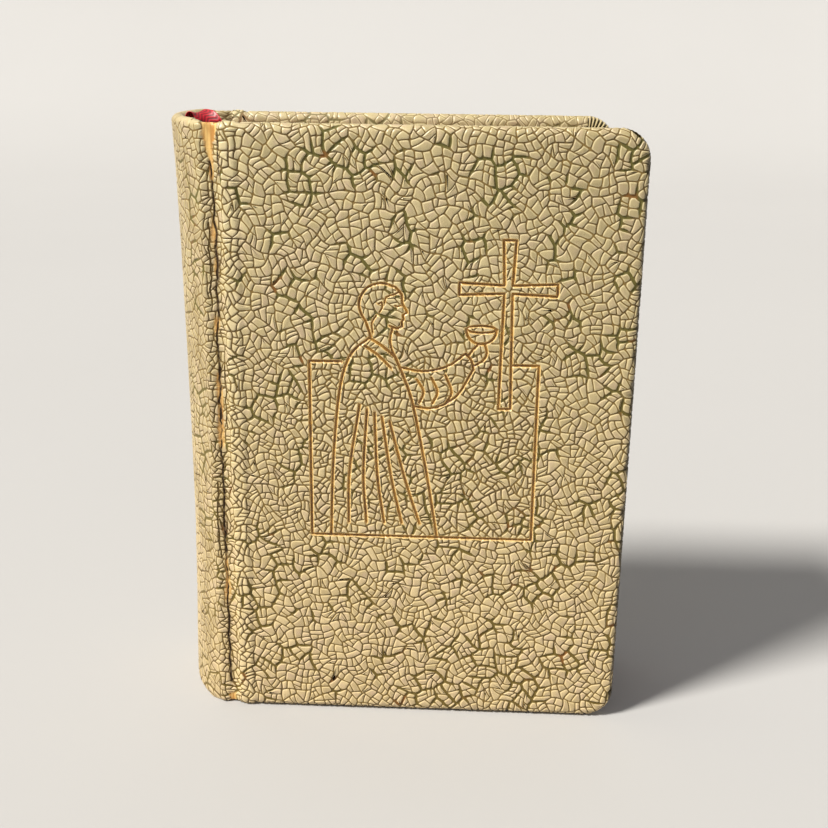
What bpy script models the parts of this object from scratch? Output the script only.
"""A small cased prayer book, standing on its tail with the front cover towards -Y and the spine towards -X.

The text block is a stack of sewn sections with a rounded back. It hangs in a case of two leather-wrapped
boards, two leather joints and a hollow leather spine. Both covers turn on the joints, and the leaves fan
with the cover on their side. Like many a used book it leans: each layer sits a little nearer the spine
side than the layer in front of it.

Section drawings are made in a working frame: x runs from the front board's spine-side edge towards the
fore edge, "depth" runs from a cover's outer plane into the book, and z runs up from the tail.
"""

import math

import bmesh
import bpy
from mathutils import Matrix, Vector

MM = 0.001

# Driving dimensions of the case
HEIGHT = 125.0 * MM
BOARD_WIDTH = 80.7 * MM
THICKNESS = 32.0 * MM
SPINE_REACH = 12.6 * MM  # how far the spine stands out beyond the front board's spine-side edge
SPINE_RADIUS = 21.2 * MM
SPINE_HALF_CHORD = 14.1 * MM
LEAN = 3.5 * MM  # how far the back cover sits towards the spine side of the front cover
CORNER_RADIUS = 6.0 * MM

# Layers of a cover, from the outside in
GAP = 0.3 * MM
LEATHER = 0.6 * MM
BOARD = 1.7 * MM
TURN_IN = 0.3 * MM
TURN_IN_WIDTH = 10.0 * MM
EDGE_RADIUS = 1.3 * MM
INLAY = 0.4 * MM
PASTEDOWN = 0.2 * MM
FLYLEAF = 0.2 * MM
MARGIN = 3.5 * MM  # leather left showing round a pastedown

# Text block
SQUARE = 3.0 * MM  # how far the boards stand out beyond the pages
SECTIONS = 11
MIDDLE = 6  # the section that stays on the spine, with the ribbon in front of it
BACK_SAGITTA = 1.8 * MM
BACK_EDGE_X = -3.0 * MM
LINING = 0.3 * MM
BAND_RADIUS = 0.5 * MM
PAGE_CORNER_RADIUS = 4.5 * MM

# Ribbon marker
RIBBON_WIDTH = 4.0 * MM
RIBBON = 0.3 * MM

# Joints
JOINT_X = -2.6 * MM
JOINT_DEPTH = 0.3 * MM

# Worked out from the above
COVER = LEATHER + GAP + BOARD + GAP + TURN_IN
BLOCK_DEPTH = COVER + GAP + PASTEDOWN + GAP + FLYLEAF + GAP
BLOCK = THICKNESS - 2 * BLOCK_DEPTH
SLOT = 2 * GAP + RIBBON
SECTION = (BLOCK - SLOT - (SECTIONS - 2) * GAP) / SECTIONS
PAGE_WIDTH = BOARD_WIDTH - SQUARE - BACK_EDGE_X
LEAN_SLOPE = LEAN / THICKNESS
SPINE_APEX = -SPINE_REACH + LEAN / 2 + SPINE_RADIUS * (math.hypot(1, LEAN_SLOPE) - 1)
CENTRE_X = (BOARD_WIDTH - SPINE_REACH) / 2
FRONT, BACK = -1, 1

SMOOTH_ANGLE = math.radians(40)


def lean(y):
    """How far a layer at world y is pushed towards the spine side."""
    return -LEAN_SLOPE * (y + THICKNESS / 2)


def world(x, y, z, shift=None):
    """A working-frame x with a world y and z, in world coordinates."""
    return Vector((x - CENTRE_X + (lean(y) if shift is None else shift), y, z))


def material(name, colour, roughness):
    """A plain Principled material."""
    made = bpy.data.materials.get(name) or bpy.data.materials.new(name)
    made.use_nodes = True
    shader = made.node_tree.nodes["Principled BSDF"]
    shader.inputs["Base Color"].default_value = (*colour, 1)
    shader.inputs["Roughness"].default_value = roughness
    shader.inputs["Metallic"].default_value = 0
    return made


def finish_object(name, bm, kind, pivot=None):
    """An object from a bmesh in world coordinates, with its origin on the joint axis if it turns."""
    bmesh.ops.recalc_face_normals(bm, faces=bm.faces)
    origin = pivot or Vector((0, 0, 0))
    bmesh.ops.transform(bm, matrix=Matrix.Translation(-origin), verts=bm.verts)
    mesh = bpy.data.meshes.new(name)
    bm.to_mesh(mesh)
    bm.free()
    mesh.shade_smooth()
    mesh.set_sharp_from_angle(angle=SMOOTH_ANGLE)
    made = bpy.data.objects.new(name, mesh)
    made.location = origin
    made.data.materials.append(material(*kind))
    bpy.context.scene.collection.objects.link(made)
    return made


def loft(rings):
    """A closed solid through rings with the same number of points, capped at both ends."""
    bm = bmesh.new()
    loops = [[bm.verts.new(point) for point in ring] for ring in rings]
    count = len(loops[0])
    for low, high in zip(loops, loops[1:]):
        for i in range(count):
            j = (i + 1) % count
            bm.faces.new((low[i], low[j], high[j], high[i]))
    bm.faces.new(loops[0])
    bm.faces.new(loops[-1])
    return bm


def outline(x0, x1, z0, z1, radius, steps=6):
    """A rectangle in x and z whose two fore-edge corners are round."""
    points = [(x0, z0)]
    for centre_z, start in ((z0 + radius, -90), (z1 - radius, 0)):
        for step in range(steps + 1):
            angle = math.radians(start + 90 * step / steps)
            points.append((x1 - radius + radius * math.cos(angle), centre_z + radius * math.sin(angle)))
    points.append((x0, z1))
    return points


def cover_plate(x0, x1, z0, z1, depth0, depth1, radius, side, edge=0.0, steps=4):
    """A flat plate of one cover. Its head, tail and fore edges are rounded by edge."""
    shift = 0.0 if side == FRONT else -LEAN
    levels = [(depth0, 0.0), (depth1, 0.0)]
    if edge:
        turns = [math.radians(90 * step / steps) for step in range(steps + 1)]
        levels = [(depth0 + edge * (1 - math.sin(t)), edge * (1 - math.cos(t))) for t in reversed(turns)]
        levels += [(depth1 - edge * (1 - math.sin(t)), edge * (1 - math.cos(t))) for t in turns]
    rings = []
    for depth, inset in levels:
        y = side * (THICKNESS / 2 - depth)
        points = outline(x0, x1 - inset, z0 + inset, z1 - inset, radius - inset)
        rings.append([world(x, y, z, shift) for x, z in points])
    return loft(rings)


def hinge_point(side):
    """A point on a cover's joint axis."""
    shift = 0.0 if side == FRONT else -LEAN
    return world(JOINT_X, side * (THICKNESS / 2 - JOINT_DEPTH), 0, shift)


def cut(target, tool_mesh, name):
    """Cut a hidden tool out of an object."""
    tool = finish_object(name, tool_mesh, ("cutter", (0.8, 0.2, 0.2), 0.5))
    tool.hide_render = True
    tool.display_type = "WIRE"
    modifier = target.modifiers.new(name, "BOOLEAN")
    modifier.operation = "DIFFERENCE"
    modifier.solver = "EXACT"
    modifier.object = tool


LEATHER_KIND = ("leather", (0.60, 0.53, 0.36), 0.5)
BOARD_KIND = ("board", (0.45, 0.38, 0.28), 0.9)
ENDPAPER_KIND = ("endpaper", (0.86, 0.82, 0.70), 0.8)
PAGE_KIND = ("pages", (0.88, 0.84, 0.74), 0.85)
GAUZE_KIND = ("gauze", (0.80, 0.77, 0.68), 0.9)
RIBBON_KIND = ("ribbon", (0.55, 0.02, 0.05), 0.6)
BAND_KIND = ("band", (0.60, 0.10, 0.08), 0.7)


def make_cover(label, side):
    """Leather skin with its turn-ins, board and pastedown of one cover."""
    pivot = hinge_point(side)
    skin = finish_object(
        label + "_cover_leather",
        cover_plate(0, BOARD_WIDTH, 0, HEIGHT, 0, COVER, CORNER_RADIUS, side, EDGE_RADIUS),
        LEATHER_KIND,
        pivot,
    )
    pocket = cover_plate(
        -GAP,
        BOARD_WIDTH - LEATHER,
        LEATHER,
        HEIGHT - LEATHER,
        LEATHER,
        COVER - TURN_IN,
        CORNER_RADIUS - LEATHER,
        side,
    )
    cut(skin, pocket, label + "_pocket_cutter")
    window = cover_plate(
        -GAP,
        BOARD_WIDTH - TURN_IN_WIDTH,
        TURN_IN_WIDTH,
        HEIGHT - TURN_IN_WIDTH,
        LEATHER + BOARD,
        COVER + GAP,
        GAP,
        side,
    )
    cut(skin, window, label + "_window_cutter")

    inset = LEATHER + GAP
    board = cover_plate(
        GAP,
        BOARD_WIDTH - inset,
        inset,
        HEIGHT - inset,
        inset,
        inset + BOARD,
        CORNER_RADIUS - inset,
        side,
    )
    finish_object(label + "_board", board, BOARD_KIND, pivot)

    paper = cover_plate(
        GAP,
        BOARD_WIDTH - MARGIN,
        MARGIN,
        HEIGHT - MARGIN,
        COVER + GAP,
        COVER + GAP + PASTEDOWN,
        CORNER_RADIUS - MARGIN / 2,
        side,
    )
    finish_object(label + "_pastedown", paper, ENDPAPER_KIND, pivot)


JOINT_GROOVE = ((-0.3, 0.3), (-1.4, 0.95), (-2.6, 1.2), (-3.8, 0.95), (-5.0, 1.3))  # x and depth, mm
JOINT_LEATHER = 0.55 * MM


def make_joint_leather(label, side):
    """The grooved leather strip between a board and the spine."""
    shift = 0.0 if side == FRONT else -LEAN
    outer = [(x * MM, depth * MM) for x, depth in JOINT_GROOVE]
    inner = [(x, depth + JOINT_LEATHER) for x, depth in reversed(outer)]
    rings = []
    for z in (0, HEIGHT):
        rings.append([world(x, side * (THICKNESS / 2 - d), z, shift) for x, d in outer + inner])
    finish_object(label + "_joint_leather", loft(rings), LEATHER_KIND)


def arc_path(apex_x, radius, half_chord, steps):
    """Points of an arc that bulges towards the spine, each with its normal towards the pages."""
    reach = math.asin(half_chord / radius)
    path = []
    for step in range(steps + 1):
        angle = reach * (2 * step / steps - 1)
        point = (apex_x + radius * (1 - math.cos(angle)), radius * math.sin(angle))
        path.append((point, (math.cos(angle), -math.sin(angle))))
    return path


def sweep(path, profile):
    """A closed solid from a profile of (offset towards the pages, z) swept along an arc."""
    rings = []
    for (x, y), (nx, ny) in path:
        ring = []
        for offset, z in profile:
            away = y + ny * offset
            ring.append(world(x + nx * offset, away, z, lean(y)))
        rings.append(ring)
    return loft(rings)


def make_spine():
    """Leather of the spine, turned in at head and tail over its inlay."""
    full = LEATHER + GAP + INLAY + GAP + TURN_IN
    inner = full - TURN_IN
    cap = LEATHER / 2
    profile = [
        (0, cap),
        (0, HEIGHT - cap),
        (cap, HEIGHT),
        (full - cap, HEIGHT),
        (full, HEIGHT - cap),
        (full, HEIGHT - TURN_IN_WIDTH),
        (inner, HEIGHT - TURN_IN_WIDTH),
        (inner, HEIGHT - LEATHER),
        (LEATHER, HEIGHT - LEATHER),
        (LEATHER, LEATHER),
        (inner, LEATHER),
        (inner, TURN_IN_WIDTH),
        (full, TURN_IN_WIDTH),
        (full, cap),
        (full - cap, 0),
        (cap, 0),
    ]
    path = arc_path(SPINE_APEX, SPINE_RADIUS, SPINE_HALF_CHORD, 18)
    finish_object("spine_leather", sweep(path, profile), LEATHER_KIND)

    low, high = LEATHER + GAP, HEIGHT - LEATHER - GAP
    strip = [(low, low), (low, high), (low + INLAY, high), (low + INLAY, low)]
    finish_object("spine_inlay", sweep(path, strip), BOARD_KIND)


def back_radius():
    """Radius of the text block's rounded back."""
    half = BLOCK / 2
    return (half**2 + BACK_SAGITTA**2) / (2 * BACK_SAGITTA)


def back_x(y):
    """The text block's back at world y, before the lean."""
    radius = back_radius()
    return BACK_EDGE_X - BACK_SAGITTA + radius - math.sqrt(radius**2 - y**2)


def make_linings():
    """Gauze and paper on the back of the text block, and the bands at its head and tail."""
    apex = BACK_EDGE_X - BACK_SAGITTA
    path = arc_path(apex, back_radius(), BLOCK / 2 - GAP, 14)
    outward = GAP
    for name, kind, margin in (("spine_gauze", GAUZE_KIND, 6 * MM), ("spine_lining", BOARD_KIND, 4 * MM)):
        low, high = SQUARE + margin, HEIGHT - SQUARE - margin
        strip = [(-outward, low), (-outward, high), (-outward - LINING, high), (-outward - LINING, low)]
        finish_object(name, sweep(path, strip), kind)
        outward += LINING + GAP

    short = arc_path(apex, back_radius(), BLOCK / 2 - 2 * MM, 14)
    reach = GAP + BAND_RADIUS
    for name, z in (("headband", HEIGHT - SQUARE + reach), ("tailband", SQUARE - reach)):
        bead = []
        for step in range(8):
            angle = 2 * math.pi * step / 8
            bead.append((BAND_RADIUS * math.cos(angle), z + BAND_RADIUS * math.sin(angle)))
        finish_object(name, sweep(short, bead), BAND_KIND)


def leaf_block(y, thickness, steps):
    """Folded sheets: a slab with a round fold towards the spine and round fore-edge corners."""
    radius = thickness / 2
    fold = back_x(y) + radius
    shift = lean(y)
    rings = []
    for step in range(steps + 1):
        angle = math.radians(-90 + 180 * step / steps)
        x0 = fold - radius * math.cos(angle)
        points = outline(x0, back_x(y) + PAGE_WIDTH, SQUARE, HEIGHT - SQUARE, PAGE_CORNER_RADIUS)
        rings.append([world(x, y + radius * math.sin(angle), z, shift) for x, z in points])
    return loft(rings), world(fold, y, 0, shift)


def section_places():
    """World y of each section's middle, front to back."""
    edge = -BLOCK / 2
    places = []
    for number in range(1, SECTIONS + 1):
        if number == MIDDLE:
            edge += SLOT - GAP
        places.append(edge + SECTION / 2)
        edge += SECTION + GAP
    return places


def make_pages():
    """The sections, and the flyleaf on each side of them."""
    places = section_places()
    for number, y in enumerate(places, 1):
        slab, pivot = leaf_block(y, SECTION, 8)
        turns = number != MIDDLE
        finish_object(f"section_{number:02d}", slab, PAGE_KIND, pivot if turns else None)

    for label, side, y in (("front", FRONT, places[0]), ("back", BACK, places[-1])):
        leaf_y = side * (BLOCK / 2 + GAP + FLYLEAF / 2)
        fold = back_x(y) + SECTION / 2
        shift = lean(y)
        rings = []
        for face in (-1, 1):
            points = outline(fold, back_x(y) + PAGE_WIDTH, SQUARE, HEIGHT - SQUARE, PAGE_CORNER_RADIUS)
            rings.append([world(x, leaf_y + face * FLYLEAF / 2, z, shift) for x, z in points])
        finish_object(label + "_flyleaf", loft(rings), ENDPAPER_KIND, world(fold, leaf_y, 0, shift))


# Route of the ribbon's middle line: x, y and z in mm, and the turn of its width from y towards x in degrees.
# It is glued in the spine hollow, arches over the head and goes down between two sections.
RIBBON_ROUTE = (
    (-7.3, 0.0, 100.0, 0),
    (-7.3, 0.0, 112.0, 0),
    (-7.3, 0.0, 121.0, 0),
    (-7.2, 0.0, 123.6, 4),
    (-6.8, 0.0, 125.0, 14),
    (-6.0, -0.1, 125.9, 32),
    (-5.0, -0.35, 126.2, 52),
    (-3.9, -0.6, 125.6, 66),
    (-3.0, -0.85, 124.8, 76),
    (-2.1, None, 123.6, 84),
    (-1.5, None, 122.2, 88),
    (-1.0, None, 119.8, 90),
    (-0.9, None, 105.0, 90),
    (-0.9, None, 65.0, 90),
    (-0.9, None, 28.0, 90),
)
RIBBON_STATIONS = 4  # between two route points


def catmull(a, b, c, d, t):
    """A point between b and c on the smooth curve through a, b, c and d."""
    return 0.5 * (2 * b + (c - a) * t + (2 * a - 5 * b + 4 * c - d) * t**2 + (3 * b - a - 3 * c + d) * t**3)


def make_ribbon():
    """The ribbon marker, a flat woven band along its route."""
    slot_y = section_places()[MIDDLE - 1] - SECTION / 2 - SLOT / 2
    route = []
    for x, y, z, turn in RIBBON_ROUTE:
        away = slot_y if y is None else y * MM
        route.append(Vector((x * MM, away, z * MM, math.radians(turn))))
    route = [2 * route[0] - route[1], *route, 2 * route[-1] - route[-2]]
    stations = []
    for a, b, c, d in zip(route, route[1:], route[2:], route[3:]):
        stations += [catmull(a, b, c, d, step / RIBBON_STATIONS) for step in range(RIBBON_STATIONS)]
    stations.append(route[-2])
    centres = [world(s[0], s[1], s[2]) for s in stations]
    rings = []
    for i, station in enumerate(stations):
        along = (centres[min(i + 1, len(centres) - 1)] - centres[max(i - 1, 0)]).normalized()
        across = Vector((math.sin(station[3]), math.cos(station[3]), 0))
        across = (across - along * across.dot(along)).normalized() * (RIBBON_WIDTH / 2)
        thick = along.cross(across).normalized() * (RIBBON / 2)
        middle = centres[i]
        corners = ((1, 1), (1, -1), (-1, -1), (-1, 1))
        rings.append([middle + across * u + thick * v for u, v in corners])
    finish_object("ribbon_marker", loft(rings), RIBBON_KIND)


def main():
    """Build the whole book."""
    for old in list(bpy.data.objects):
        bpy.data.objects.remove(old, do_unlink=True)
    for label, side in (("front", FRONT), ("back", BACK)):
        make_cover(label, side)
        make_joint_leather(label, side)
    make_spine()
    make_linings()
    make_pages()
    make_ribbon()


main()
